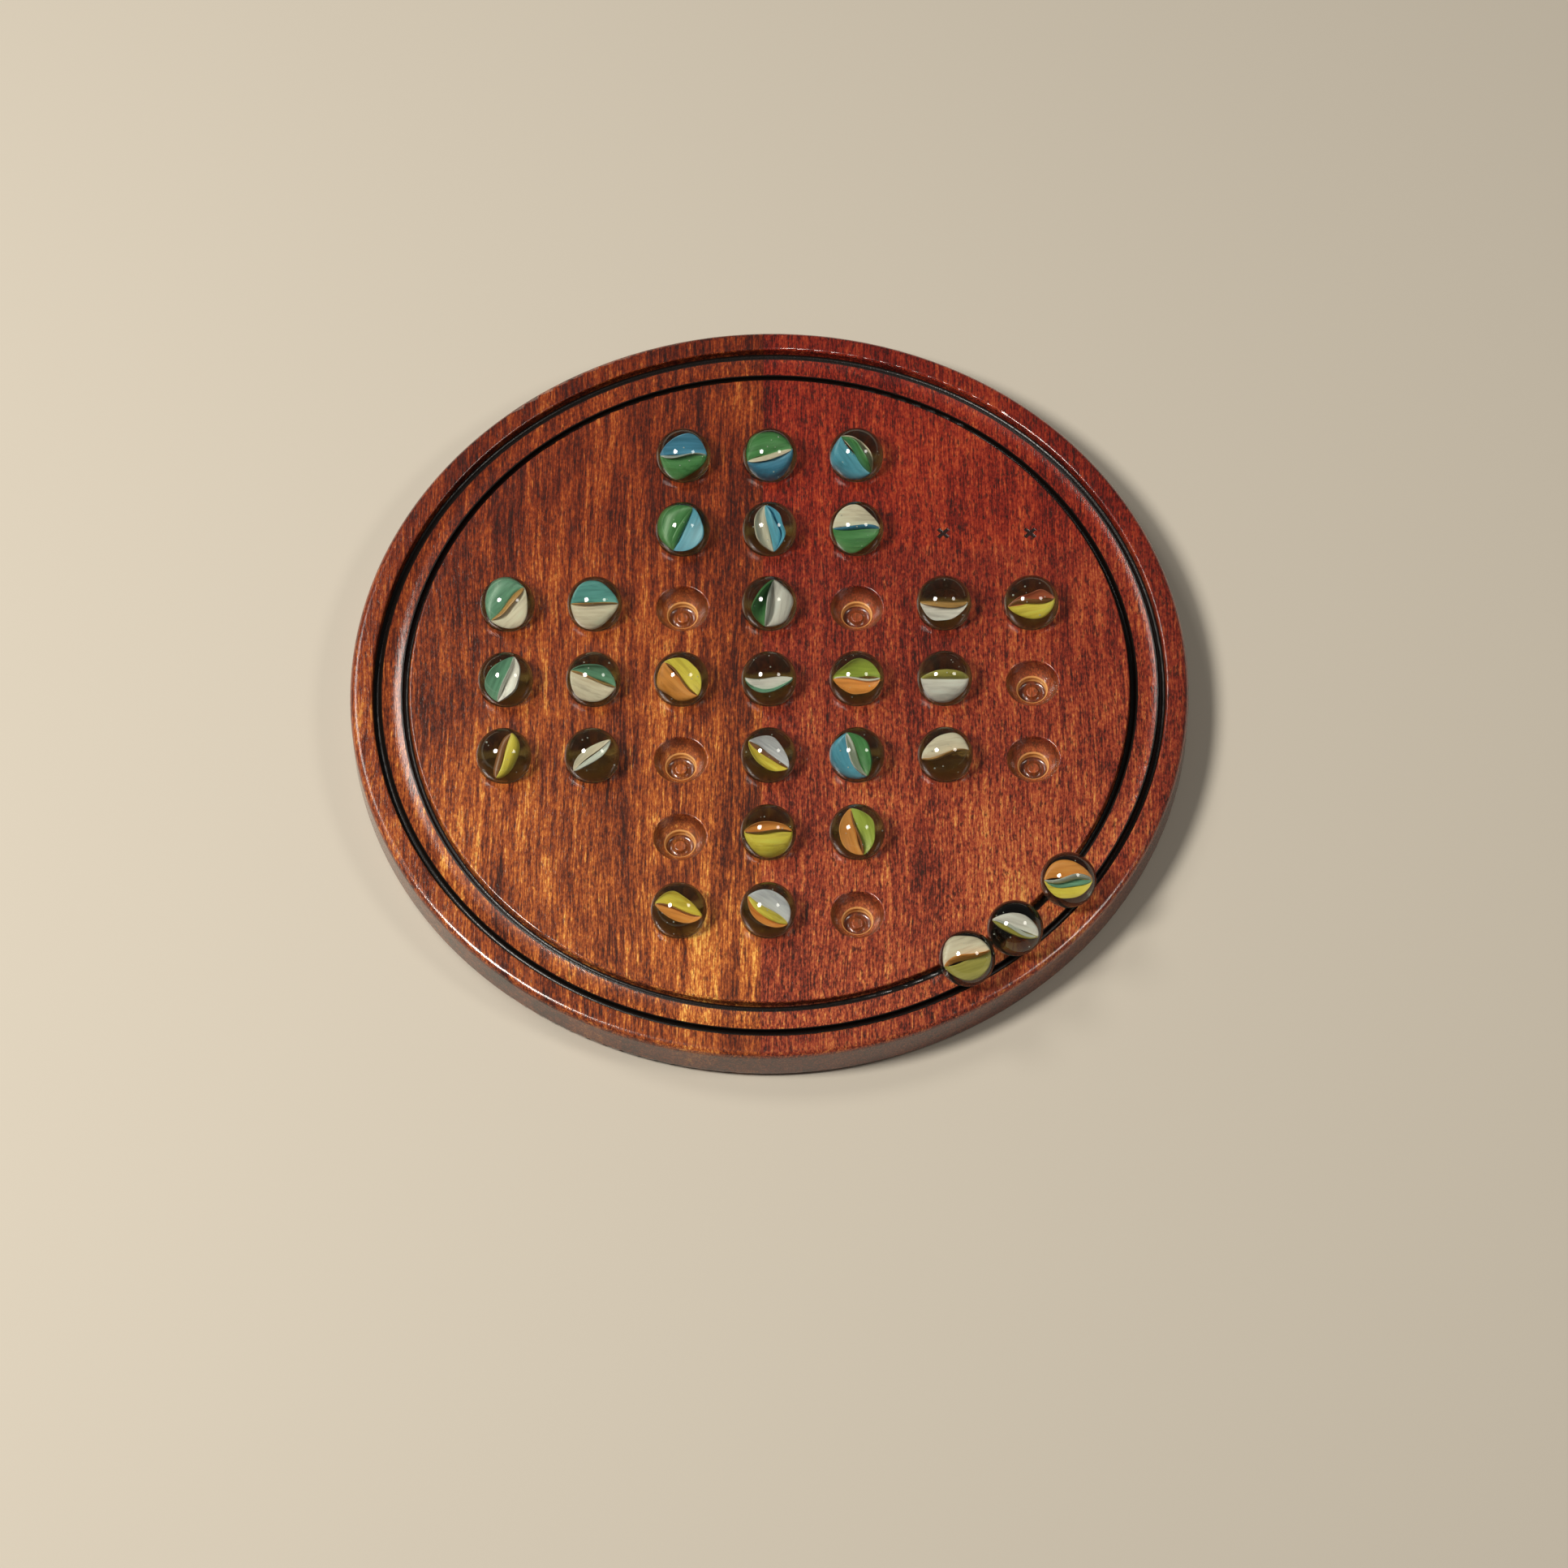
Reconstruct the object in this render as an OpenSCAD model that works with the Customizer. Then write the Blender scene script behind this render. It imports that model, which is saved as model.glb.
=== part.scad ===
// Round marble solitaire board: a turned wooden board with thirty-three cupped
// holes laid out as a cross, a race (gutter) round the edge for taken marbles,
// and a set of glass marbles partly played. All sizes are in millimetres.
// The frame stands on the underside of the board: +Z is up, +Y is away from the
// player, and the origin is the middle of the underside.

/* [Board] */
// Outside diameter of the board
board_d = 243; // [241:1:270]
// Thickness of the board
board_t = 12.7; // [12:0.1:16]
// Radius that rounds the upper and the lower corner of the edge
edge_r = 2.1; // [1:0.1:4]
// How far left of the middle the glue joint between the two planks runs
seam_offset = 2; // [-6:0.5:6]

/* [Holes] */
// Distance between neighbouring holes
hole_pitch = 25.4; // [24:0.1:26]
// Radius of the ball cutter that shapes a cup
cup_r = 8.2; // [8.15:0.05:8.5]
// Depth of a cup below the top of the board
cup_depth = 5.3; // [4.5:0.1:6]
// Radius at the middle of the ring-shaped groove in the floor of a cup
ring_r = 2.95; // [2.6:0.05:3.4]
// Radius of the groove's own round section
ring_groove_r = 1.3; // [0.9:0.05:1.4]

/* [Race] */
// Radius of the raised middle of the board, where the race starts
plateau_r = 104.4; // [102:0.1:105]
// Radius where the race ends and the flat rim starts
race_outer_r = 115; // [114.5:0.1:116]
// Width of the narrow slot at the race's inner wall
inner_slot_w = 2; // [1.2:0.1:2.2]
// Width of the narrow slot at the race's outer wall
outer_slot_w = 2.3; // [1.4:0.1:2.5]
// Depth of the two narrow slots
slot_depth = 3.2; // [2.5:0.1:4]
// Radius of the hollow that the marbles roll in
race_cove_r = 8.6; // [8.4:0.1:12]
// Depth of the hollow at its middle
race_depth = 1.9; // [1.6:0.1:2.4]

/* [Marbles] */
// Diameter of a marble
marble_d = 16; // [15:0.1:16]
// Angles of the marbles in the race, in degrees from +X: upper, middle, lower
race_angles = [-38.8, -50.2, -59];

/* [Hidden] */
$fn = 96;

board_r = board_d / 2;
marble_r = marble_d / 2;

// The cross: a cell is [row, column], row 1 is furthest from the player
grid_n = 7;
grid_mid = (grid_n + 1) / 2;
arm_half = 1;

function on_cross(row, col) =
    abs(row - grid_mid) <= arm_half || abs(col - grid_mid) <= arm_half;
cells = [for (row = [1:grid_n], col = [1:grid_n]) if (on_cross(row, col)) [row, col]];

// The cells whose marbles have been taken, or moved away
empty_cells = [[3, 3], [3, 5], [4, 7], [5, 3], [5, 7], [6, 3], [7, 5]];
function is_in(cell, list) = len([for (other = list) if (other == cell) other]) > 0;
filled_cells = [for (cell = cells) if (!is_in(cell, empty_cells)) cell];

// The main colour of each marble's glass; the rest are clear
blue_cells = [[1, 3], [1, 5], [2, 4]];
green_cells = [[1, 4], [2, 3], [3, 1], [3, 2], [3, 4], [4, 1], [4, 2], [5, 5]];
amber_cells = [[4, 3], [4, 5], [6, 4], [6, 5], [7, 3]];
white_cells = [[2, 5], [5, 4], [7, 4]];
function glass_colour(cell) =
    is_in(cell, blue_cells) ? "steelblue" :
    is_in(cell, green_cells) ? "mediumseagreen" :
    is_in(cell, amber_cells) ? "goldenrod" :
    is_in(cell, white_cells) ? "lavender" : "darkslategray";
race_colours = ["goldenrod", "darkslategray", "orange"];

function cell_x(cell) = (cell[1] - grid_mid) * hole_pitch;
function cell_y(cell) = (grid_mid - cell[0]) * hole_pitch;
function cell_name(cell) = str("marble_row", cell[0], "_col", cell[1]);

// Cup: the ball cutter's centre stands above the board's top
cup_centre_z = board_t - cup_depth + cup_r;
cup_lip_r = 0.4;
ring_lip_r = 0.5;
nub_lip_r = 0.35;
// How far past the sharp edge a rounding's cutter reaches, as a share of its size
sliver_reach = 0.5;

// A marble hangs this far clear of the cup and of the race
cup_gap = 0.1;
race_gap = 0.1;
cup_marble_z = cup_centre_z - (cup_r - marble_r) + cup_gap;

// The ring-shaped groove's section is centred just under the cup's surface
ring_groove_drop = 0.3;
ring_groove_z = cup_centre_z - sqrt(pow(cup_r, 2) - pow(ring_r, 2)) - ring_groove_drop;

// Race: the band between the two slots is hollowed by a round cutter
race_mid_r = (plateau_r + inner_slot_w + race_outer_r - outer_slot_w) / 2;
race_cutter_z = board_t - race_depth + race_cove_r;
race_marble_z = board_t - race_depth + race_gap + marble_r;
shoulder_r = 0.6;

// Layout marks: small crosses pricked into the top between two arms of the cross
mark_cells = [[2, 6], [2, 7]];
mark_l = 4.2;
mark_w = 1.1;
mark_depth = 0.3;
mark_turns = [45, 135];

// Cutters overshoot the faces they cut by this much
over = 1;

race_names = ["race_marble_upper", "race_marble_middle", "race_marble_lower"];

// The rounding of an outside corner, as the sliver to cut away.
// dir is +1 where the wood lies towards +X of the corner, and -1 where it lies towards -X.
module corner_sliver(x, z, r, dir) {
    difference() {
        translate([dir > 0 ? x - over : x - r, z - r]) square([r + over, r + over]);
        translate([x + dir * r, z - r]) circle(r = r);
        translate([dir > 0 ? x + r : x - 2 * r - over, z - r]) square([r + over, r + over]);
    }
}

// One narrow slot with a round floor, from x to x + w
module slot_section(x, w) {
    translate([x, board_t - slot_depth + w / 2]) square([w, slot_depth - w / 2 + over]);
    translate([x + w / 2, board_t - slot_depth + w / 2]) circle(d = w);
}

// The section of the race, as the shape to cut away
module race_section() {
    slot_section(plateau_r, inner_slot_w);
    slot_section(race_outer_r - outer_slot_w, outer_slot_w);
    intersection() {
        translate([race_mid_r, race_cutter_z]) circle(r = race_cove_r);
        translate([plateau_r + inner_slot_w / 2, board_t - slot_depth])
            square([race_outer_r - plateau_r - inner_slot_w / 2 - outer_slot_w / 2, slot_depth + over]);
    }
    corner_sliver(plateau_r, board_t, shoulder_r, -1);
    corner_sliver(race_outer_r, board_t, shoulder_r, 1);
}

// The board's section: a slab with a half-round edge, and the race
module board_section() {
    difference() {
        union() {
            square([board_r - edge_r, board_t]);
            translate([0, edge_r]) square([board_r, board_t - 2 * edge_r]);
            for (z = [edge_r, board_t - edge_r])
                translate([board_r - edge_r, z]) circle(r = edge_r);
        }
        race_section();
    }
}

// Where two circles of radius r1 and r2 about c1 and c2 cross. side is +1 for the
// crossing further from the Z axis and -1 for the nearer one.
function circles_meet(c1, r1, c2, r2, side) =
    let (
        gap = norm(c2 - c1),
        along = (pow(r1, 2) - pow(r2, 2) + pow(gap, 2)) / (2 * gap),
        aside = sqrt(pow(r1, 2) - pow(along, 2)),
        dir = (c2 - c1) / gap
    )
    c1 + dir * along + side * aside * [-dir[1], dir[0]];

// The sliver that rounds one of the edges between two round cuts centred at c1 and c2
module edge_sliver(c1, r1, c2, r2, round_r, side) {
    middle = circles_meet(c1, r1 + round_r, c2, r2 + round_r, side);
    touch_1 = c1 + (middle - c1) * r1 / (r1 + round_r);
    touch_2 = c2 + (middle - c2) * r2 / (r2 + round_r);
    edge = circles_meet(c1, r1, c2, r2, side);
    difference() {
        polygon([touch_1, middle, touch_2, edge + (edge - middle) * sliver_reach]);
        translate(middle) circle(r = round_r);
    }
}

// The section of one hole, as the shape to cut away, on the +X side of its axis
module cup_section() {
    cup_centre = [0, cup_centre_z];
    ring_centre = [ring_r, ring_groove_z];
    rise = cup_centre_z - board_t;
    // the rounded lip touches the top here
    lip_x = sqrt(pow(cup_r + cup_lip_r, 2) - pow(rise + cup_lip_r, 2));
    lip_centre = [lip_x, board_t - cup_lip_r];
    touch = cup_centre + (lip_centre - cup_centre) * cup_r / (cup_r + cup_lip_r);
    intersection() {
        translate(cup_centre) circle(r = cup_r);
        translate([0, board_t - cup_depth - over]) square([cup_r, cup_depth + 2 * over]);
    }
    difference() {
        polygon([touch, [lip_x, board_t], [lip_x, board_t + over], [0, board_t + over], [0, touch[1]]]);
        translate(lip_centre) circle(r = cup_lip_r);
    }
    translate(ring_centre) circle(r = ring_groove_r);
    edge_sliver(cup_centre, cup_r, ring_centre, ring_groove_r, ring_lip_r, 1);
    edge_sliver(cup_centre, cup_r, ring_centre, ring_groove_r, nub_lip_r, -1);
}

// The cutter for one hole, standing on the Z axis
module cup_cutter() {
    rotate_extrude() cup_section();
}

// A small cross pricked into the top
module layout_mark() {
    for (turn = mark_turns)
        rotate(turn)
            translate([-mark_l / 2, -mark_w / 2, board_t - mark_depth])
                cube([mark_l, mark_w, mark_depth + over]);
}

module turned_board() {
    difference() {
        rotate_extrude($fn = 180) board_section();
        for (cell = cells) translate([cell_x(cell), cell_y(cell), 0]) cup_cutter();
        for (cell = mark_cells) translate([cell_x(cell), cell_y(cell), 0]) layout_mark();
    }
}

// The space on one side of the glue joint, large enough to hold the board
module plank_side(side) {
    translate([side < 0 ? -board_d - seam_offset : -seam_offset, -board_r - over, -over])
        cube([board_d, board_d + 2 * over, board_t + 2 * over]);
}

// Left plank, straight-grained and golden brown
module board_left_plank() {
    color("peru") intersection() {
        turned_board();
        plank_side(-1);
    }
}

// Right plank, redder and darker
module board_right_plank() {
    color("sienna") intersection() {
        turned_board();
        plank_side(1);
    }
}

// A marble that sits in the cup at one cell
module cup_marble(cell) {
    color(glass_colour(cell))
        translate([cell_x(cell), cell_y(cell), cup_marble_z]) sphere(r = marble_r);
}

// A marble that has been taken and lies in the race
module race_marble(index) {
    color(race_colours[index]) rotate(race_angles[index])
        translate([race_mid_r, 0, race_marble_z]) sphere(r = marble_r);
}

board_left_plank();
board_right_plank();
for (cell = filled_cells)
    cup_marble(cell);
for (index = [0:len(race_names) - 1])
    race_marble(index);
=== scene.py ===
"""Looks, light and camera for the round marble solitaire board.

Everything is in metres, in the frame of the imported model: +Z is up, +Y is away
from the player and the origin is the middle of the board's underside.
"""

import math
import random

import bmesh
import bpy
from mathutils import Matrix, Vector


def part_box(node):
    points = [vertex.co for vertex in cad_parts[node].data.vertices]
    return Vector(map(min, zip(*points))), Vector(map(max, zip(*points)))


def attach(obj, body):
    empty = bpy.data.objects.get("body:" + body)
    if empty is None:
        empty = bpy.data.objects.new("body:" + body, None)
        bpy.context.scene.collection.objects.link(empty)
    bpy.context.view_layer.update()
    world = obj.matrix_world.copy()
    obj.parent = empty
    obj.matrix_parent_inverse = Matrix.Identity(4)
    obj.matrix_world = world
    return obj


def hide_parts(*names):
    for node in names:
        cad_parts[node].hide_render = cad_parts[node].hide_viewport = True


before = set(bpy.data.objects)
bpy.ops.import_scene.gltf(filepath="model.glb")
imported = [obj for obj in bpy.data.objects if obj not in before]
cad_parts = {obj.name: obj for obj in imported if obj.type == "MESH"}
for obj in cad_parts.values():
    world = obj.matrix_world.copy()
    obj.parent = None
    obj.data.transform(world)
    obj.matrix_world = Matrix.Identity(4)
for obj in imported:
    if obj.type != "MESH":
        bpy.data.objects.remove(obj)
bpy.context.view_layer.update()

MM = 0.001

# ---------------------------------------------------------------- sizes
# The board's features that the materials follow, as the CAD has them.
HOLE_PITCH = 25.4 * MM
MIDDLE_CELL = 4
PLATEAU_R = 104.4 * MM
INNER_SLOT_W = 2.0 * MM
OUTER_SLOT_W = 2.3 * MM
RACE_OUTER_R = 115.0 * MM
# The lip of the ring-shaped groove in each cup, and how deep the groove is cut
RING_LIP_R = 4.2 * MM
RING_DEPTH = 5.9 * MM
# All cups lie inside this radius
CROSS_REACH = 90 * MM
MARK_REACH = 2.6 * MM
MARK_CELLS = [(2, 6), (2, 7)]

# The left plank reaches as far along Y as the board does, but for the joint's small offset.
board_high = Vector(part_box("board_left_plank")[1])
BOARD_TOP = board_high.z
BOARD_R = board_high.y


def cell_centre(row, col):
    """The x and y of a cell's centre. Rows count from the far side, columns from the left."""
    return (col - MIDDLE_CELL) * HOLE_PITCH, (MIDDLE_CELL - row) * HOLE_PITCH


# ---------------------------------------------------------------- node helpers
def new_material(name):
    """A material with an empty node tree."""
    material = bpy.data.materials.new(name)
    material.use_nodes = True
    material.node_tree.nodes.clear()
    return material


def add(tree, kind, **props):
    """Add one shader node and set its properties."""
    made = tree.nodes.new(kind)
    for key, value in props.items():
        setattr(made, key, value)
    return made


def feed(tree, socket, value):
    """Link a socket to another node's output, or set it to a plain value."""
    if isinstance(value, bpy.types.NodeSocket):
        tree.links.new(value, socket)
    else:
        socket.default_value = value


def maths(tree, operation, first, second=0.0, third=0.0):
    """One Math node. Its arguments are node outputs or plain numbers."""
    made = add(tree, "ShaderNodeMath", operation=operation)
    for socket, value in zip(made.inputs, (first, second, third)):
        feed(tree, socket, value)
    return made.outputs[0]


def smooth_step(tree, value, low, high, out_low=0.0, out_high=1.0):
    """An eased change from out_low to out_high as value goes from low to high."""
    made = add(tree, "ShaderNodeMapRange", interpolation_type="SMOOTHSTEP")
    feed(tree, made.inputs["Value"], value)
    ends = {"From Min": low, "From Max": high, "To Min": out_low, "To Max": out_high}
    for name, number in ends.items():
        feed(tree, made.inputs[name], number)
    return made.outputs["Result"]


def blend_colour(tree, share, first, second, mode="MIX"):
    """Go from the first colour to the second, or multiply by it, by a share from 0 to 1."""
    made = add(tree, "ShaderNodeMix", data_type="RGBA", blend_type=mode)
    feed(tree, made.inputs["Factor"], share)
    feed(tree, made.inputs["A"], first)
    feed(tree, made.inputs["B"], second)
    return made.outputs["Result"]


def colour_ramp(tree, value, stops):
    """Turn a value into a colour. Each stop is (value, colour)."""
    made = add(tree, "ShaderNodeValToRGB")
    band = made.color_ramp
    while len(band.elements) < len(stops):
        band.elements.new(0.5)
    for element, (place, colour) in zip(band.elements, stops):
        element.position = place
        element.color = (*colour, 1)
    feed(tree, made.inputs["Fac"], value)
    return made.outputs["Color"]


def noise(tree, vector, scale, detail, roughness=0.55):
    """Noise from 0 to 1 whose scale is in cells per metre."""
    made = add(tree, "ShaderNodeTexNoise")
    feed(tree, made.inputs["Vector"], vector)
    made.inputs["Scale"].default_value = scale
    made.inputs["Detail"].default_value = detail
    made.inputs["Roughness"].default_value = roughness
    return made.outputs["Fac"]


def join_xyz(tree, x, y, z):
    """A vector of three node outputs or plain numbers."""
    made = add(tree, "ShaderNodeCombineXYZ")
    for socket, value in zip(made.inputs, (x, y, z)):
        feed(tree, socket, value)
    return made.outputs[0]


def object_place(tree):
    """Where a point lies in the object's own coordinates."""
    return add(tree, "ShaderNodeTexCoord").outputs["Object"]


def length_of(tree, x, y):
    """The length of a flat vector, as a node output."""
    return maths(tree, "SQRT", maths(tree, "MULTIPLY_ADD", x, x, maths(tree, "MULTIPLY", y, y)))


def times(tree, *values):
    """The product of two or more values."""
    total = values[0]
    for value in values[1:]:
        total = maths(tree, "MULTIPLY", total, value)
    return total


def principled(tree, colour, roughness):
    """A Principled shader of this colour and roughness, each a node output or a plain value."""
    shader = add(tree, "ShaderNodeBsdfPrincipled")
    feed(tree, shader.inputs["Base Color"], colour)
    feed(tree, shader.inputs["Roughness"], roughness)
    return shader


def show(tree, shader):
    """Make the shader the surface of its material."""
    out = add(tree, "ShaderNodeOutputMaterial")
    feed(tree, out.inputs["Surface"], shader.outputs[0])


# ---------------------------------------------------------------- wood
# Each plank: the colours of its grain from dark to light, what multiplies them at the
# near side as painted glare and beyond the wavering line, how much each noise layer
# counts, how strong the dark flecks are, and a seed that gives it a grain of its own.
WOOD_LOOKS = {
    # Golden brown, with long streaks and dark patches
    "board_left_plank": dict(
        slot="wood_golden",
        ramp=[
            (0.08, (0.024, 0.004, 0.002)),
            (0.30, (0.086, 0.010, 0.003)),
            (0.52, (0.205, 0.028, 0.006)),
            (0.74, (0.370, 0.068, 0.012)),
            (0.96, (0.580, 0.190, 0.038)),
        ],
        near_glare_gain=(1.9, 3.2, 3.5, 1),
        far_gain=(1.0, 1.0, 1.0, 1),
        weights=dict(broad=0.9, streaks=1.2, fibres=1.5, specks=0.8, blotches=1.0),
        flecks=0.55,
        seed=3.1,
    ),
    # Redder and more even, with short dark flecks
    "board_right_plank": dict(
        slot="wood_red",
        ramp=[
            (0.10, (0.022, 0.003, 0.002)),
            (0.32, (0.112, 0.007, 0.004)),
            (0.54, (0.240, 0.020, 0.009)),
            (0.76, (0.365, 0.051, 0.017)),
            (0.96, (0.500, 0.115, 0.034)),
        ],
        near_glare_gain=(1.8, 4.0, 3.4, 1),
        far_gain=(1.12, 1.0, 0.9, 1),
        weights=dict(broad=0.5, streaks=0.8, fibres=1.5, specks=1.0, blotches=0.8),
        flecks=0.75,
        seed=17.7,
    ),
}
STAIN = (0.006, 0.004, 0.003, 1)
# Brown of the wood's pores, also painted shade in the cups' ring-shaped grooves
PORE_AND_GROOVE_SHADE_BROWN = (0.030, 0.008, 0.005, 1)
# A painted highlight on the lip of each cup's ring-shaped groove
LIP_HIGHLIGHT_GOLD = (0.90, 0.46, 0.14, 1)
CUP_GOLD = (0.50, 0.17, 0.045, 1)
MARK_BROWN = (0.022, 0.008, 0.006, 1)
# These multiply the grain's colour.
# Painted shade on the cups' walls
CUP_WALL_SHADE_GAIN = (0.50, 0.40, 0.42, 1)
RIM_GAIN = (0.80, 0.70, 0.72, 1)
# Painted shade on the board's side
EDGE_SHADE_GAIN = (0.42, 0.36, 0.36, 1)

# Between these two places along Y painted glare makes the wood lighter.
GLARE_START_Y = 70 * MM
GLARE_END_Y = -115 * MM
# The wavering line lies between LINE_Y and LINE_Y + LINE_WANDER.
LINE_Y = 34 * MM
LINE_WANDER = 22 * MM

# Where in the noise a fleck begins and where it is full
FLECK_LEVELS = (0.44, 0.33)
# The wood under the coat, from dark fibres to light ones
WOOD_ROUGHNESS = (0.42, 0.30)
COAT_WEIGHT = 0.8
COAT_LOST_TO_STAIN = -0.65
COAT_ROUGHNESS = 0.11
COAT_IOR = 1.7
WOOD_SPECULAR = 0.25
BUMP_STRENGTH = 0.4
BUMP_DEPTH = 0.12 * MM
FLECK_BUMP = -0.3


def grain_layers(tree, x, y, z, look):
    """The noise layers of the grain, each about 0.5 at its middle. The grain runs along Y."""
    seed = look["seed"]
    bend = 8 * MM
    wander = noise(tree, join_xyz(tree, x, maths(tree, "MULTIPLY", y, 0.5), seed), 14, 2)
    bent_x = maths(tree, "MULTIPLY_ADD", wander, bend, x)
    lifted_z = maths(tree, "ADD", z, seed)

    def layer(stretch, scale, detail, roughness=0.6):
        """Noise whose Y is scaled by stretch, so that a small stretch gives long streaks."""
        place = join_xyz(tree, bent_x, maths(tree, "MULTIPLY", y, stretch), lifted_z)
        return noise(tree, place, scale, detail, roughness)

    return dict(
        broad=layer(0.07, 95, 3),
        streaks=layer(0.045, 560, 4),
        fibres=layer(0.065, 2500, 3, 0.7),
        specks=layer(0.45, 1700, 2),
        blotches=layer(0.45, 38, 4),
        flecks=layer(0.26, 1700, 2, 0.5),
    )


def slot_stain(tree, across, depth):
    """1 in the two narrow slots of the race, which are stained black."""
    blur = 0.15 * MM
    inset = 0.1 * MM
    spread = 0.45 * MM
    stain_end = 4 * MM
    stain_fade = 0.4 * MM

    def ring(inner, outer):
        rising = smooth_step(tree, across, inner - blur, inner + blur)
        falling = smooth_step(tree, across, outer + blur, outer - blur)
        return maths(tree, "MULTIPLY", rising, falling)

    inner_ring = ring(PLATEAU_R + inset, PLATEAU_R + INNER_SLOT_W + spread)
    outer_ring = ring(RACE_OUTER_R - OUTER_SLOT_W - spread, RACE_OUTER_R - inset)
    rings = maths(tree, "MAXIMUM", inner_ring, outer_ring)
    return times(tree, rings, smooth_step(tree, depth, stain_end, stain_end - stain_fade))


def distance_to_hole(tree, x, y):
    """How far a point is from the axis of the nearest hole."""
    half = HOLE_PITCH / 2
    return length_of(tree, *(maths(tree, "WRAP", value, half, -half) for value in (x, y)))


def layout_marks(tree, x, y, depth):
    """1 in the small crosses pricked into the top."""
    marks = 0.0
    for cell in MARK_CELLS:
        mark_x, mark_y = cell_centre(*cell)
        from_x = maths(tree, "SUBTRACT", x, mark_x)
        from_y = maths(tree, "SUBTRACT", y, mark_y)
        away = length_of(tree, from_x, from_y)
        near = smooth_step(tree, away, MARK_REACH + 0.1 * MM, MARK_REACH)
        marks = maths(tree, "ADD", near, marks)
    return times(tree, marks, smooth_step(tree, depth, 0.02 * MM, 0.08 * MM))


def grain_colour(tree, layers, look):
    """The colour of the grain: the weighted sum of its layers, sent through the plank's ramp."""
    weights = look["weights"]
    # the tone is 0.5 where every layer is at its middle
    tone = 0.5 - sum(weights.values()) / 2
    for layer, weight in weights.items():
        tone = maths(tree, "MULTIPLY_ADD", layers[layer], weight, tone)
    return colour_ramp(tree, tone, look["ramp"])


def tint_regions(tree, colour, y, across, depth, layers, look):
    """Lighten the wood towards the player with painted glare, darken the rim, and darken the edge
    with painted shade.

    Beyond a wavering line each plank has a tint of its own.
    """
    # Painted glare: the wood gets lighter towards the player
    painted_glare = smooth_step(tree, y, GLARE_START_Y, GLARE_END_Y)
    colour = blend_colour(tree, painted_glare, colour, look["near_glare_gain"], "MULTIPLY")
    on_rim = smooth_step(tree, across, RACE_OUTER_R - MM, RACE_OUTER_R + MM)
    colour = blend_colour(tree, on_rim, colour, RIM_GAIN, "MULTIPLY")
    # Painted shade: the board's side is darker
    painted_edge_shade = times(
        tree,
        smooth_step(tree, across, BOARD_R - 1.5 * MM, BOARD_R - 0.3 * MM),
        smooth_step(tree, depth, 0.6 * MM, 2.4 * MM),
    )
    colour = blend_colour(tree, painted_edge_shade, colour, EDGE_SHADE_GAIN, "MULTIPLY")
    line = maths(tree, "MULTIPLY_ADD", layers["blotches"], LINE_WANDER, LINE_Y)
    beyond = smooth_step(tree, maths(tree, "SUBTRACT", y, line), -0.5 * MM, 1.5 * MM)
    return blend_colour(tree, beyond, colour, look["far_gain"], "MULTIPLY")


def tint_cups(tree, colour, from_axis, across, depth):
    """Warm the cups, with painted shade darkening their walls, a painted highlight in gold on the
    lip of the ring-shaped groove, and painted shade darkening that groove.

    Depths are below the board's top, and from_axis is the distance from the cup's middle.
    """
    on_cross = smooth_step(tree, across, CROSS_REACH + MM, CROSS_REACH)
    in_cup = times(tree, on_cross, smooth_step(tree, depth, 0.3 * MM, 1.2 * MM, 0.0, 0.25))
    colour = blend_colour(tree, in_cup, colour, CUP_GOLD)
    # Painted shade: the upper walls of the cups are darker
    painted_wall_shade = times(
        tree, on_cross,
        smooth_step(tree, depth, 0.1 * MM, 0.7 * MM),
        smooth_step(tree, depth, 3.6 * MM, 1.6 * MM),
    )
    colour = blend_colour(tree, painted_wall_shade, colour, CUP_WALL_SHADE_GAIN, "MULTIPLY")
    # Painted highlight: a golden band on the groove's lip
    painted_lip_highlight = times(
        tree, on_cross,
        smooth_step(tree, from_axis, RING_LIP_R + 0.5 * MM, RING_LIP_R + 0.2 * MM),
        smooth_step(tree, from_axis, RING_LIP_R - 0.3 * MM, RING_LIP_R - 0.1 * MM, 0.0, 0.8),
        smooth_step(tree, depth, 3 * MM, 3.5 * MM),
    )
    colour = blend_colour(tree, painted_lip_highlight, colour, LIP_HIGHLIGHT_GOLD)
    # Painted shade: the ring-shaped groove is darker
    painted_groove_shade = times(
        tree, on_cross,
        smooth_step(tree, from_axis, RING_LIP_R, RING_LIP_R - 0.4 * MM),
        smooth_step(tree, depth, RING_DEPTH - 0.8 * MM, RING_DEPTH, 0.0, 0.5),
    )
    return blend_colour(tree, painted_groove_shade, colour, PORE_AND_GROOVE_SHADE_BROWN)


def varnish(tree, colour, stained, flecks, fibres):
    """Wood of this colour under a glossy coat, which is thin where the wood is stained."""
    shader = principled(tree, colour, smooth_step(tree, fibres, 0.3, 0.7, *WOOD_ROUGHNESS))
    coat = maths(tree, "MULTIPLY_ADD", stained, COAT_LOST_TO_STAIN, COAT_WEIGHT)
    feed(tree, shader.inputs["Coat Weight"], coat)
    shader.inputs["Specular IOR Level"].default_value = WOOD_SPECULAR
    shader.inputs["Coat Roughness"].default_value = COAT_ROUGHNESS
    shader.inputs["Coat IOR"].default_value = COAT_IOR
    bump = add(tree, "ShaderNodeBump")
    bump.inputs["Strength"].default_value = BUMP_STRENGTH
    bump.inputs["Distance"].default_value = BUMP_DEPTH
    feed(tree, bump.inputs["Height"], maths(tree, "MULTIPLY_ADD", flecks, FLECK_BUMP, fibres))
    feed(tree, shader.inputs["Normal"], bump.outputs[0])
    feed(tree, shader.inputs["Coat Normal"], bump.outputs[0])
    return shader


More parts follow.
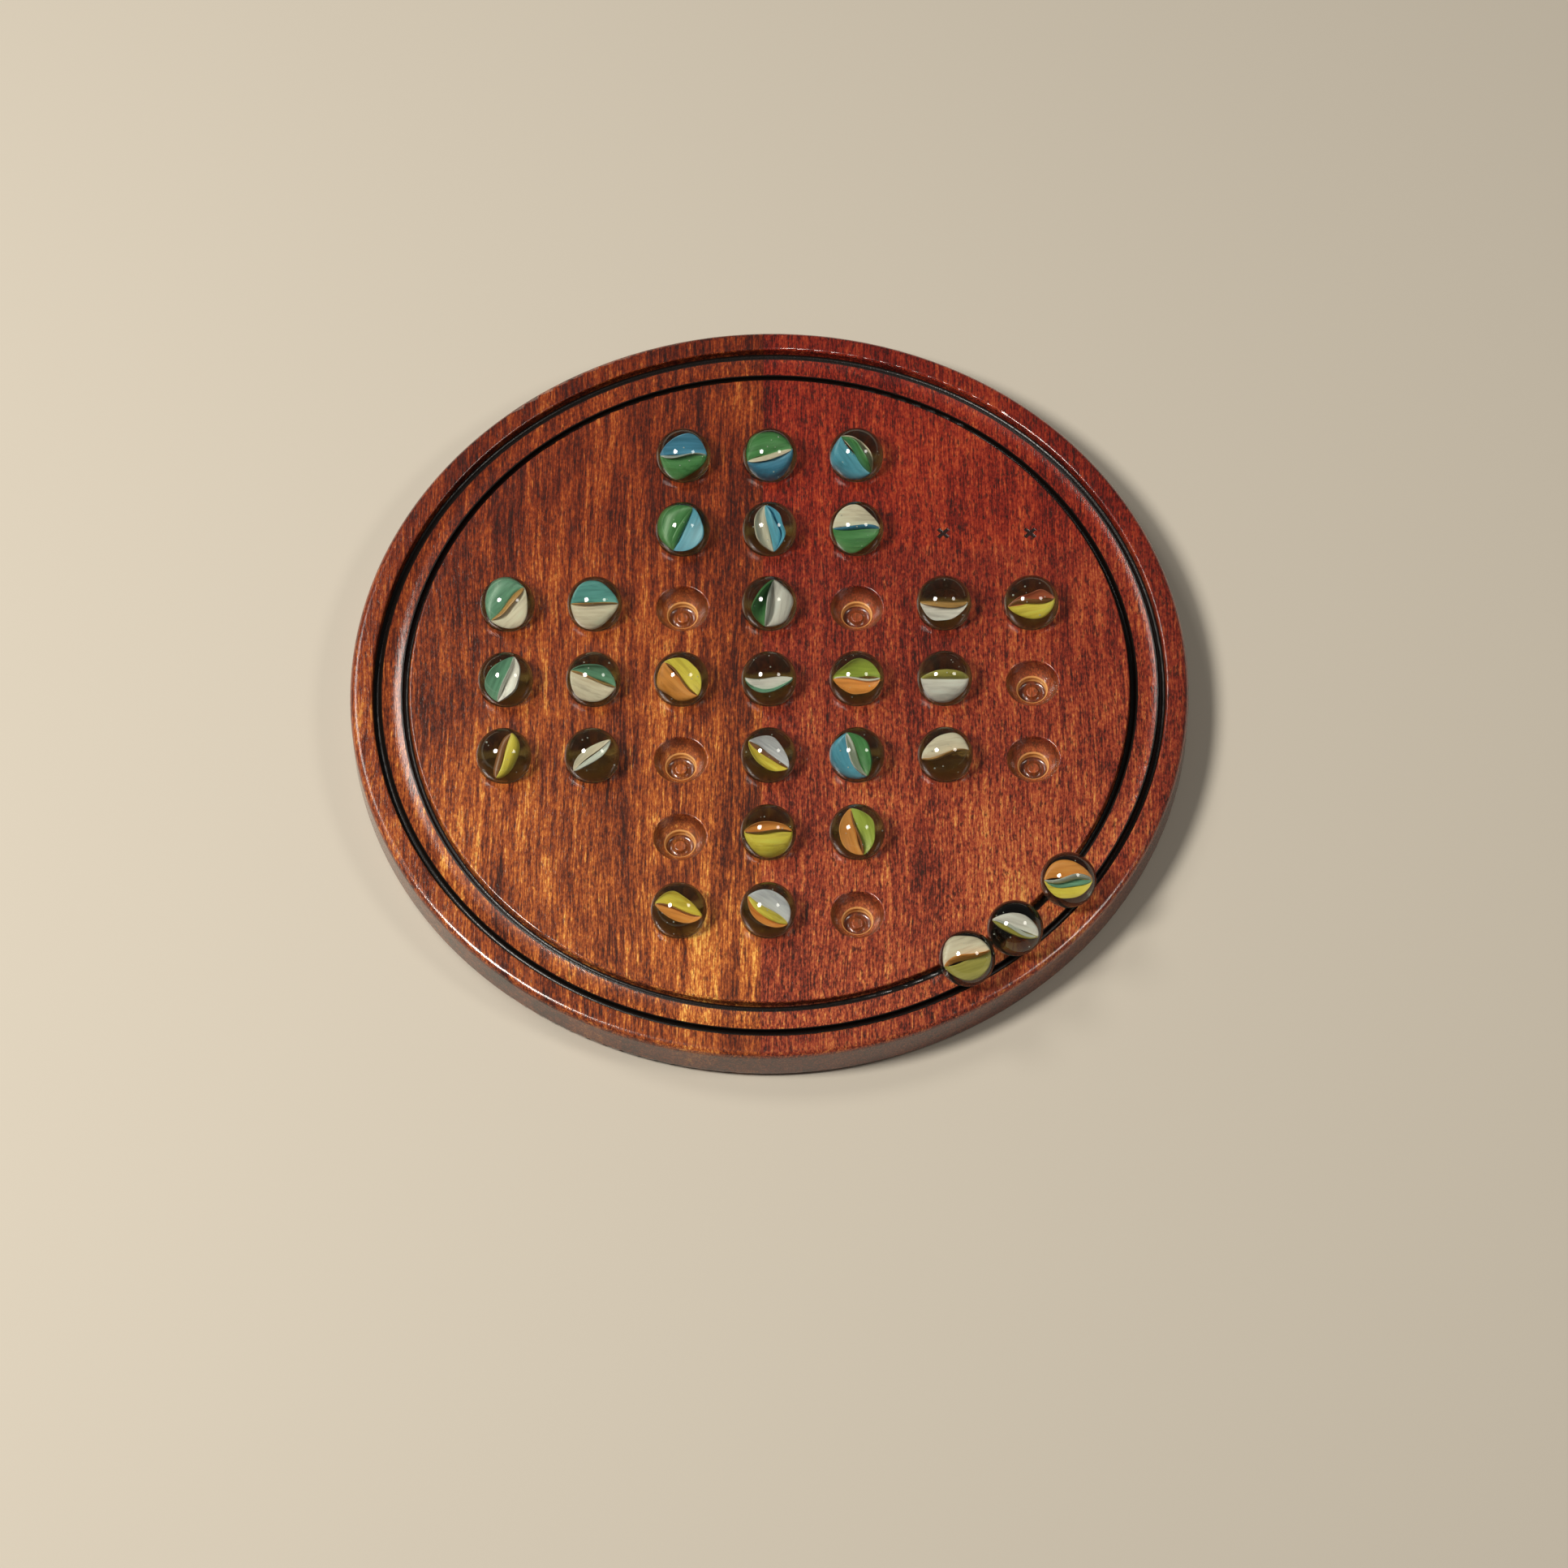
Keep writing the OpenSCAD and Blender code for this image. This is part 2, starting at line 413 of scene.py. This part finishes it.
def wood_material(name, look):
    """Varnished hardwood whose grain runs away from the player, along Y."""
    material = new_material(name)
    tree = material.node_tree
    split = add(tree, "ShaderNodeSeparateXYZ")
    feed(tree, split.inputs[0], object_place(tree))
    x, y, z = split.outputs
    across = length_of(tree, x, y)
    depth = maths(tree, "SUBTRACT", BOARD_TOP, z)
    layers = grain_layers(tree, x, y, z, look)

    colour = grain_colour(tree, layers, look)
    colour = tint_regions(tree, colour, y, across, depth, layers, look)
    flecks = smooth_step(tree, layers["flecks"], *FLECK_LEVELS, 0.0, look["flecks"])
    colour = blend_colour(tree, flecks, colour, PORE_AND_GROOVE_SHADE_BROWN)
    colour = tint_cups(tree, colour, distance_to_hole(tree, x, y), across, depth)
    stained = slot_stain(tree, across, depth)
    colour = blend_colour(tree, stained, colour, STAIN)
    colour = blend_colour(tree, layout_marks(tree, x, y, depth), colour, MARK_BROWN)

    show(tree, varnish(tree, colour, stained, flecks, layers["fibres"]))
    return material


def varnish_planks():
    """Give each plank its material. The shapes stay as the CAD has them."""
    for plank, look in WOOD_LOOKS.items():
        material = wood_material("varnished_" + look["slot"], look)
        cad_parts[plank].material_slots[0].material = material


# ---------------------------------------------------------------- camera
FRAME_PX = 1932
SENSOR = 36.0
CAMERA_FOCAL_PX = 9430
CAMERA_ELEVATION = math.radians(60.4)
CAMERA_AZIMUTH = math.radians(1.2)
CAMERA_ROLL = math.radians(1.2)
CAMERA_DISTANCE = 2.2
CAMERA_AIM = Vector((4.4 * MM, -33.5 * MM, BOARD_TOP))


def place_camera():
    """The photograph's viewing angle, from a little way off."""
    data = bpy.data.cameras.new("camera")
    data.sensor_width = SENSOR
    data.lens = CAMERA_FOCAL_PX / FRAME_PX * SENSOR
    camera = bpy.data.objects.new("camera", data)
    bpy.context.collection.objects.link(camera)
    flat = math.cos(CAMERA_ELEVATION)
    look = Vector((
        -math.sin(CAMERA_AZIMUTH) * flat,
        math.cos(CAMERA_AZIMUTH) * flat,
        -math.sin(CAMERA_ELEVATION),
    ))
    camera.location = CAMERA_AIM - look * CAMERA_DISTANCE
    turn = look.to_track_quat("-Z", "Y").to_matrix().to_4x4()
    camera.rotation_euler = turn.to_euler()
    camera.rotation_euler.rotate_axis("Z", -CAMERA_ROLL)
    bpy.context.scene.camera = camera


# ---------------------------------------------------------------- light and floor
LAMP_DISTANCE = 1.3
LAMP_COLOUR = (1.0, 0.95, 0.88)
# Each lamp: the way to it from the origin, its diameter in metres and its power in watts
LAMPS = {
    "key": ((-0.565, -0.142, 0.813), 0.38, 14.5),
    "fill": ((0.648, -0.115, 0.755), 0.30, 2.8),
    "sheen": ((-0.50, 0.43, 0.75), 0.42, 3.2),
}
BACKDROP_COLOUR = (1.0, 0.96, 0.90, 1)
BACKDROP_LIGHT = 0.09
BACKDROP_EXTRA_SEEN = 0.55
FLOOR_HALF = 2.0
FLOOR_COLOUR = (0.60, 0.55, 0.46, 1)
FLOOR_ROUGHNESS = 0.8


def disc_light(name, direction, size, energy):
    """A round lamp that faces the origin."""
    data = bpy.data.lights.new(name, "AREA")
    data.shape = "DISK"
    data.size = size
    data.energy = energy
    data.color = LAMP_COLOUR
    lamp = bpy.data.objects.new(name, data)
    bpy.context.collection.objects.link(lamp)
    direction = Vector(direction).normalized()
    lamp.location = direction * LAMP_DISTANCE
    lamp.rotation_euler = (-direction).to_track_quat("-Z", "Y").to_euler()
    return lamp


def light_backdrop():
    """A backdrop that is dim as light, and pale where the camera looks straight at it."""
    world = bpy.data.worlds.new("studio")
    world.use_nodes = True
    tree = world.node_tree
    backdrop = tree.nodes["Background"]
    backdrop.inputs["Color"].default_value = BACKDROP_COLOUR
    looked_at = add(tree, "ShaderNodeLightPath").outputs["Is Camera Ray"]
    strength = maths(tree, "MULTIPLY_ADD", looked_at, BACKDROP_EXTRA_SEEN, BACKDROP_LIGHT)
    feed(tree, backdrop.inputs["Strength"], strength)
    bpy.context.scene.world = world


def light_scene(floor):
    """The lamps and the backdrop. The sheen lamp lights the varnish and the floor, not the glass."""
    lamps = {name: disc_light(name, *facts) for name, facts in LAMPS.items()}
    flat_things = bpy.data.collections.new("wood_and_floor")
    for lit in [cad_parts[plank] for plank in WOOD_LOOKS] + [floor]:
        flat_things.objects.link(lit)
    lamps["sheen"].light_linking.receiver_collection = flat_things
    light_backdrop()
    bpy.context.scene.view_settings.view_transform = "Standard"


def lay_floor():
    """A plain pale floor under the board."""
    signs = ((-1, -1), (1, -1), (1, 1), (-1, 1))
    corners = [(x * FLOOR_HALF, y * FLOOR_HALF, 0) for x, y in signs]
    mesh = bpy.data.meshes.new("floor")
    mesh.from_pydata(corners, [], [(0, 1, 2, 3)])
    floor = bpy.data.objects.new("floor", mesh)
    bpy.context.collection.objects.link(floor)
    material = new_material("pale_floor")
    tree = material.node_tree
    show(tree, principled(tree, FLOOR_COLOUR, FLOOR_ROUGHNESS))
    mesh.materials.append(material)
    return floor


# ---------------------------------------------------------------- marbles
RANDOM_SEED = 11
BALL_RINGS = 48
# How far the player's line of sight is tipped down from the level, in degrees
SIGHT_TILT = 60

GLASS_COLOUR = (0.24, 0.27, 0.215, 1)
GLASS_IOR = 1.5
NO_LIGHT = (0.0, 0.0, 0.0, 1)
ALL_LIGHT = (1.0, 1.0, 1.0, 1)

# The grid of a vane: steps along the marble's axis, and sides from the axis outwards
VANE_STEPS = 28
VANE_SIDES = 10
# Shares of the marble's radius
VANE_HALF_LENGTH = 0.64
VANE_REACH = 0.64
VANE_REACH_LIMIT = 0.8
VANE_THICKNESS = 0.035
VANE_GAP = 0.02
VANE_SWAY = 0.05
# A vane's outline: where its ends are cut, how square it is and how full
VANE_END = 0.985
VANE_SQUARENESS = 2.4
VANE_FULLNESS = 0.75
VANE_THINNING = 0.8
# How far chance may turn, curl and lean a vane, and how many ripples its outline has
VANE_TWIST = 0.32
VANE_CURL = 0.7
VANE_LEAN = 0.32
VANE_RIPPLES = 3
RIPPLE_SIZE = (0.02, 0.05)
RIPPLE_RATE = (2, 6)
# The streaks in a vane: cells per metre, the share taken off the place along the axis so
# that they run along it, and what multiplies the colour in dark and in light streaks
STREAK_SCALE = 1300
STREAK_SHRINK = 0.9
DARK_STREAK = 0.72
LIGHT_STREAK = 1.1
VANE_ROUGHNESS = 0.4

# Bubbles: how many in a marble, their looks, and their place and size as shares of its radius
BUBBLES = 7
BUBBLE_MOTTLE_SCALE = 4000
BUBBLE_ROUGHNESS = 0.3
BUBBLE_RINGS = 8
BUBBLE_PLACE = (0.35, 0.62)
BUBBLE_SIZE = (0.010, 0.022)


def vane_axes(axis_turn):
    """The axis of a marble's vanes, and the two directions across it.

    The axis lies level as the player sees it, turned by axis_turn; the second
    direction points up the board and the third one at the player's eye.
    """
    tilt = math.radians(SIGHT_TILT)
    right = Vector((1, 0, 0))
    up = Vector((0, math.sin(tilt), math.cos(tilt)))
    eye = Vector((0, -math.cos(tilt), math.sin(tilt)))
    axis = right * math.cos(axis_turn) + up * math.sin(axis_turn)
    across = up * math.cos(axis_turn) - right * math.sin(axis_turn)
    return axis, across, eye


PALETTE = {
    "blue": (0.085, 0.32, 0.54),
    "sky": (0.13, 0.47, 0.68),
    "green": (0.09, 0.31, 0.10),
    "teal": (0.17, 0.40, 0.27),
    "turquoise": (0.14, 0.45, 0.45),
    "lime": (0.46, 0.56, 0.08),
    "yellow": (1.0, 0.78, 0.10),
    "olive": (0.46, 0.40, 0.08),
    "orange": (1.0, 0.38, 0.08),
    "tan": (0.60, 0.32, 0.10),
    "brown": (0.32, 0.12, 0.035),
    "brick": (0.70, 0.17, 0.08),
    "cream": (0.97, 0.83, 0.66),
    "white": (0.97, 0.90, 0.87),
    "grey": (0.62, 0.64, 0.60),
    "lavender": (0.74, 0.74, 0.84),
}

# Each marble: the turn of its vanes' axis in degrees, then its vanes as
# (angle round the axis in degrees, colour, width). 0 points up the board,
# 90 at the player's eye, 180 down the board.
MARBLES = {
    "marble_row1_col3": (0, [(15, "blue", 1.0), (172, "green", 0.9), (95, "grey", 0.35)]),
    "marble_row1_col4": (15, [(10, "green", 0.9), (170, "blue", 0.9), (90, "cream", 0.25)]),
    "marble_row1_col5": (-50, [(15, "cream", 0.6), (75, "green", 0.75), (175, "sky", 1.0)]),
    "marble_row2_col3": (65, [(10, "green", 1.0), (170, "sky", 0.9), (90, "green", 0.3)]),
    "marble_row2_col4": (-80, [(15, "sky", 0.9), (168, "cream", 1.0), (70, "sky", 0.45)]),
    "marble_row2_col5": (0, [(10, "cream", 0.95), (170, "green", 0.95), (90, "blue", 0.3)]),
    "marble_row3_col1": (45, [(10, "teal", 1.0), (170, "cream", 0.95), (95, "tan", 0.3)]),
    "marble_row3_col2": (0, [(10, "turquoise", 0.9), (170, "cream", 0.95), (95, "tan", 0.35)]),
    "marble_row3_col4": (80, [(12, "green", 1.05), (172, "white", 0.85), (110, "grey", 0.4)]),
    "marble_row3_col6": (0, [(172, "white", 0.8), (95, "tan", 0.3)]),
    "marble_row3_col7": (10, [(20, "brick", 0.5), (165, "yellow", 0.6), (100, "brown", 0.3)]),
    "marble_row4_col1": (70, [(10, "teal", 0.8), (170, "white", 0.85), (95, "grey", 0.3)]),
    "marble_row4_col2": (-20, [(10, "teal", 0.95), (170, "cream", 0.95), (95, "tan", 0.4)]),
    "marble_row4_col3": (-45, [(10, "yellow", 0.8), (170, "orange", 0.8), (90, "brown", 0.2)]),
    "marble_row4_col4": (0, [(165, "teal", 0.85), (120, "white", 0.45)]),
    "marble_row4_col5": (0, [(10, "lime", 0.95), (170, "orange", 0.85), (110, "white", 0.25)]),
    "marble_row4_col6": (0, [(172, "white", 0.9), (80, "olive", 0.45)]),
    "marble_row5_col1": (70, [(165, "yellow", 0.5), (30, "brown", 0.25)]),
    "marble_row5_col2": (40, [(170, "grey", 0.35), (10, "cream", 0.3)]),
    "marble_row5_col4": (-35, [(10, "lavender", 0.7), (170, "yellow", 0.75), (95, "brown", 0.3)]),
    "marble_row5_col5": (-65, [(10, "green", 0.9), (145, "white", 0.6), (178, "sky", 1.05)]),
    "marble_row5_col6": (10, [(10, "cream", 0.75), (110, "tan", 0.35)]),
    "marble_row6_col4": (0, [(15, "orange", 0.5), (170, "yellow", 0.95), (90, "brown", 0.3)]),
    "marble_row6_col5": (-75, [(10, "lime", 0.8), (170, "orange", 0.75), (90, "brown", 0.2)]),
    "marble_row7_col3": (-15, [(10, "yellow", 0.85), (160, "orange", 0.6), (90, "brown", 0.2)]),
    "marble_row7_col4": (-35, [(10, "lavender", 0.75), (170, "orange", 0.6), (95, "yellow", 0.4)]),
    "race_marble_upper": (
        0, [(22, "orange", 0.75), (168, "yellow", 0.8), (100, "grey", 0.45), (140, "teal", 0.3)],
    ),
    "race_marble_middle": (-20, [(15, "white", 0.5), (100, "grey", 0.15), (165, "olive", 0.4)]),
    "race_marble_lower": (20, [(10, "cream", 0.9), (80, "orange", 0.5), (170, "olive", 0.85)]),
}


def glass_material():
    """Dark clear glass.

    Rays towards a lamp pass where they leave the glass and stop where they enter it,
    so the vanes inside are lit and the marble still casts a shadow.
    """
    material = new_material("marble_glass")
    tree = material.node_tree
    shader = principled(tree, GLASS_COLOUR, 0.0)
    shader.inputs["Transmission Weight"].default_value = 1.0
    shader.inputs["IOR"].default_value = GLASS_IOR
    path = add(tree, "ShaderNodeLightPath")
    inside = add(tree, "ShaderNodeNewGeometry").outputs["Backfacing"]
    through = add(tree, "ShaderNodeBsdfTransparent")
    feed(tree, through.inputs["Color"], blend_colour(tree, inside, NO_LIGHT, ALL_LIGHT))
    mix = add(tree, "ShaderNodeMixShader")
    feed(tree, mix.inputs[0], path.outputs["Is Shadow Ray"])
    feed(tree, mix.inputs[1], shader.outputs[0])
    feed(tree, mix.inputs[2], through.outputs[0])
    show(tree, mix)
    return material


def drawn_out(tree, axis):
    """The place in the object with the part along the axis shrunk, which draws noise out."""
    place = object_place(tree)
    along = add(tree, "ShaderNodeVectorMath", operation="DOT_PRODUCT")
    feed(tree, along.inputs[0], place)
    along.inputs[1].default_value = axis
    pull = add(tree, "ShaderNodeVectorMath", operation="SCALE")
    pull.inputs[0].default_value = axis
    shrink = maths(tree, "MULTIPLY", along.outputs["Value"], -STREAK_SHRINK)
    feed(tree, pull.inputs["Scale"], shrink)
    squeezed = add(tree, "ShaderNodeVectorMath", operation="ADD")
    feed(tree, squeezed.inputs[0], place)
    feed(tree, squeezed.inputs[1], pull.outputs[0])
    return squeezed.outputs[0]


def vane_material(name, colour, axis):
    """Opaque coloured glass with fine streaks along the vanes' axis."""
    material = new_material(name)
    tree = material.node_tree
    streaks = noise(tree, drawn_out(tree, axis), STREAK_SCALE, 3)
    dark = tuple(DARK_STREAK * part for part in colour)
    light = tuple(min(1.0, LIGHT_STREAK * part + 0.03) for part in colour)
    tint = colour_ramp(tree, streaks, [(0.30, dark), (0.5, colour), (0.70, light)])
    show(tree, principled(tree, tint, VANE_ROUGHNESS))
    return material


def bubble_material():
    """Whitish and faintly mottled: a painted glint standing in for the light the bubbles reflect."""
    material = new_material("bubble_painted_glint")
    tree = material.node_tree
    mottle = noise(tree, object_place(tree), BUBBLE_MOTTLE_SCALE, 2)
    tint = colour_ramp(tree, mottle, [(0.3, (0.55, 0.60, 0.55)), (0.7, (0.85, 0.88, 0.84))])
    show(tree, principled(tree, tint, BUBBLE_ROUGHNESS))
    return material


def mesh_object(name, grid_list, materials):
    """One object from closed grids: each is (list of rings of points, material index)."""
    mesh = bpy.data.meshes.new(name)
    made = bmesh.new()
    for rings, material_index in grid_list:
        rows = [[made.verts.new(point) for point in ring] for ring in rings]
        count = len(rows[0])
        for lower, upper in zip(rows, rows[1:]):
            for i in range(count):
                j = (i + 1) % count
                face = made.faces.new((lower[i], lower[j], upper[j], upper[i]))
                face.material_index = material_index
                face.smooth = True
        for cap in (rows[0][::-1], rows[-1]):
            face = made.faces.new(cap)
            face.material_index = material_index
            face.smooth = True
    bmesh.ops.recalc_face_normals(made, faces=made.faces)
    made.to_mesh(mesh)
    made.free()
    for material in materials:
        mesh.materials.append(material)
    piece = bpy.data.objects.new(name, mesh)
    bpy.context.collection.objects.link(piece)
    return piece


def vane_rings(centre, radius, axes, angle, width, rng):
    """A thin leaf from the marble's axis outwards, pointed at both ends."""
    axis, across, eye = axes
    half_length = VANE_HALF_LENGTH * radius
    twist = rng.uniform(-VANE_TWIST, VANE_TWIST)
    curl = rng.uniform(-VANE_CURL, VANE_CURL)
    lean = rng.uniform(-VANE_LEAN, VANE_LEAN)
    sway = rng.uniform(-VANE_SWAY, VANE_SWAY) * radius
    waves = [
        (rng.uniform(*RIPPLE_SIZE), rng.uniform(*RIPPLE_RATE), rng.uniform(0, math.tau))
        for _ in range(VANE_RIPPLES)
    ]
    rings = []
    for i in range(VANE_STEPS + 1):
        t = max(-VANE_END, min(VANE_END, -1 + 2 * i / VANE_STEPS))
        ripple = sum(size * math.sin(rate * t + phase) for size, rate, phase in waves)
        outline = (1 - abs(t) ** VANE_SQUARENESS) ** VANE_FULLNESS
        leaf = outline * (1 + lean * t + ripple)
        reach = min(width * VANE_REACH * leaf, VANE_REACH_LIMIT) * radius
        gap = VANE_GAP * radius * (1 - t * t)
        middle = centre + across * (sway * math.sin(math.pi * t)) + axis * (t * half_length)
        front, back = [], []
        for k in range(VANE_SIDES + 1):
            s = k / VANE_SIDES
            turn = math.radians(angle) + twist * t + curl * s * s
            out = across * math.cos(turn) + eye * math.sin(turn)
            side = eye * math.cos(turn) - across * math.sin(turn)
            thick = VANE_THICKNESS * radius * (1 - VANE_THINNING * s)
            spot = middle + out * (gap + reach * s)
            front.append(spot + side * thick)
            back.append(spot - side * thick)
        rings.append(front + back[::-1])
    return rings


def ball_rings(centre, radius, count):
    """A ball as rings of points from the top down, without its two poles."""
    turns = [math.pi * k / count for k in range(2 * count)]
    rings = []
    for i in range(1, count):
        polar = math.pi * i / count
        ring_r = radius * math.sin(polar)
        height = radius * math.cos(polar)
        rings.append([
            centre + Vector((ring_r * math.cos(turn), ring_r * math.sin(turn), height))
            for turn in turns
        ])
    return rings


def bubble_grids(centre, radius, material_index, rng):
    """Small seeds of air caught in the glass."""
    grids = []
    for _ in range(BUBBLES):
        way = Vector([rng.gauss(0, 1) for _ in range(3)]).normalized()
        spot = centre + way * (radius * rng.uniform(*BUBBLE_PLACE))
        size = radius * rng.uniform(*BUBBLE_SIZE)
        grids.append((ball_rings(spot, size, BUBBLE_RINGS), material_index))
    return grids


def make_vanes(node, turn, vanes, centre, radius, bubble_glass, rng):
    """The coloured vanes and the bubbles of one marble, as one object."""
    axes = vane_axes(math.radians(turn))
    materials, grids = [], []
    for index, (angle, colour, width) in enumerate(vanes):
        materials.append(vane_material(f"{node}_{colour}_{index}", PALETTE[colour], axes[0]))
        grids.append((vane_rings(centre, radius, axes, angle, width, rng), index))
    materials.append(bubble_glass)
    grids += bubble_grids(centre, radius, len(vanes), rng)
    return mesh_object(node.replace("marble", "vanes"), grids, materials)


def make_marbles():
    """Give each marble its vanes, and put a clear ball in the place of the CAD's."""
    glass = glass_material()
    bubble_glass = bubble_material()
    rng = random.Random(RANDOM_SEED)
    for node, (turn, vanes) in MARBLES.items():
        low, high = (Vector(corner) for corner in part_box(node))
        centre = (low + high) / 2
        radius = (high.z - low.z) / 2
        inner = make_vanes(node, turn, vanes, centre, radius, bubble_glass, rng)
        ball_grid = (ball_rings(centre, radius, BALL_RINGS), 0)
        ball = mesh_object(node.replace("marble", "glass"), [ball_grid], [glass])
        for piece in (inner, ball):
            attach(piece, node)
        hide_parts(node)


# ---------------------------------------------------------------- the scene
varnish_planks()
make_marbles()
place_camera()
light_scene(lay_floor())
